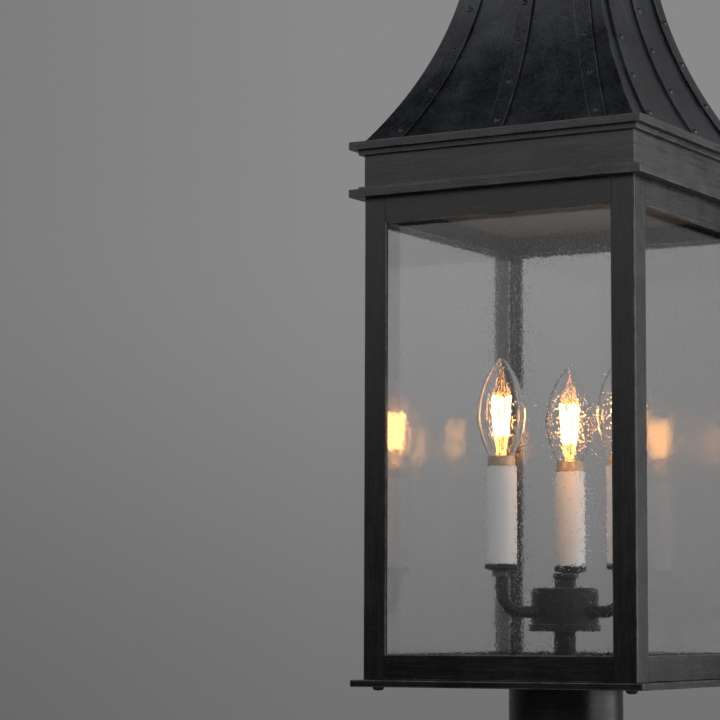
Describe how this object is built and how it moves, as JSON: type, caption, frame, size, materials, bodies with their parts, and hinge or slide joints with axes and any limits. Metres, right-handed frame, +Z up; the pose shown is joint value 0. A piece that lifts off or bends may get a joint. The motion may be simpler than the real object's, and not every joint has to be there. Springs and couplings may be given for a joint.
{
  "type": "post top lantern",
  "caption": "Square outdoor post lantern with seeded glass panes, a box frieze, a concave ribbed hip roof and a cluster of candle bulbs on curved arms.",
  "frame": {"origin": "the point on the post's axis where the underside of the base plate rests on the post", "axes": "+Z up along the post's axis, -Y out of the front face, +X out of the right-hand face"},
  "size_m": [0.2286, 0.2286, 0.6736],
  "materials": {
    "black_metal": "fine-textured black powder coat",
    "seeded_glass": "seeded glass with small bubbles and soft ripples",
    "candle_sleeve": "matte white",
    "socket_body": "moulded black",
    "bulb_shell": "plated, satin",
    "bulb_glass": "clear blown glass",
    "filament": "glowing filament sticks",
    "plated_steel": "zinc plated"
  },
  "bodies": {
    "base": {"base_plate": "black_metal", "post_fitter": "black_metal", "stem": "black_metal", "nipple": "plated_steel", "hub_cover": "black_metal", "hub_body": "black_metal", "hub_cap": "black_metal", "arm_1": "black_metal", "arm_2": "black_metal", "arm_3": "black_metal", "cup_1": "black_metal", "cup_2": "black_metal", "cup_3": "black_metal", "socket_1": "socket_body", "socket_2": "socket_body", "socket_3": "socket_body", "sleeve_1": "candle_sleeve", "sleeve_2": "candle_sleeve", "sleeve_3": "candle_sleeve"},
    "cage": {"corner_post_front_left": "black_metal", "corner_post_front_right": "black_metal", "corner_post_back_right": "black_metal", "corner_post_back_left": "black_metal", "top_rail_front": "black_metal", "top_rail_right": "black_metal", "top_rail_back": "black_metal", "top_rail_left": "black_metal", "bottom_rail_front": "black_metal", "bottom_rail_right": "black_metal", "bottom_rail_back": "black_metal", "bottom_rail_left": "black_metal", "pane_front": "seeded_glass", "pane_right": "seeded_glass", "pane_back": "seeded_glass", "pane_left": "seeded_glass", "glass_clips": "plated_steel", "ceiling_tray": "black_metal", "lower_moulding": "black_metal", "frieze": "black_metal", "upper_moulding": "black_metal", "roof_shell": "black_metal", "roof_battens": "black_metal", "roof_rivets": "black_metal", "roof_cap": "black_metal", "finial": "black_metal"},
    "cage_screws": {"cage_screws": "plated_steel"},
    "bulb_1": {"bulb_base_1": "bulb_shell", "bulb_glass_1": "bulb_glass", "bulb_filament_1": "filament"},
    "bulb_2": {"bulb_base_2": "bulb_shell", "bulb_glass_2": "bulb_glass", "bulb_filament_2": "filament"},
    "bulb_3": {"bulb_base_3": "bulb_shell", "bulb_glass_3": "bulb_glass", "bulb_filament_3": "filament"},
    "set_screw_1": {"set_screw_1": "plated_steel"},
    "set_screw_2": {"set_screw_2": "plated_steel"},
    "set_screw_3": {"set_screw_3": "plated_steel"}
  },
  "joints": [
    {"name": "cage_lift", "type": "slide", "parent": "base", "child": "cage", "axis": [0, 0, 1], "range_m": [0, 0.26]},
    {"name": "cage_screws_out", "type": "slide", "parent": "base", "child": "cage_screws", "axis": [0, 0, -1], "range_m": [0, 0.0145]},
    {"name": "bulb_1_out", "type": "slide", "parent": "base", "child": "bulb_1", "axis": [0, 0, 1], "range_m": [0, 0.026]},
    {"name": "bulb_2_out", "type": "slide", "parent": "base", "child": "bulb_2", "axis": [0, 0, 1], "range_m": [0, 0.026]},
    {"name": "bulb_3_out", "type": "slide", "parent": "base", "child": "bulb_3", "axis": [0, 0, 1], "range_m": [0, 0.026]},
    {"name": "set_screw_1_turn", "type": "slide", "parent": "base", "child": "set_screw_1", "axis": [0, -1, 0], "range_m": [-0.002, 0.005]},
    {"name": "set_screw_2_turn", "type": "slide", "parent": "base", "child": "set_screw_2", "axis": [0.866, 0.5, 0], "range_m": [-0.002, 0.005]},
    {"name": "set_screw_3_turn", "type": "slide", "parent": "base", "child": "set_screw_3", "axis": [-0.866, 0.5, 0], "range_m": [-0.002, 0.005]}
  ]
}
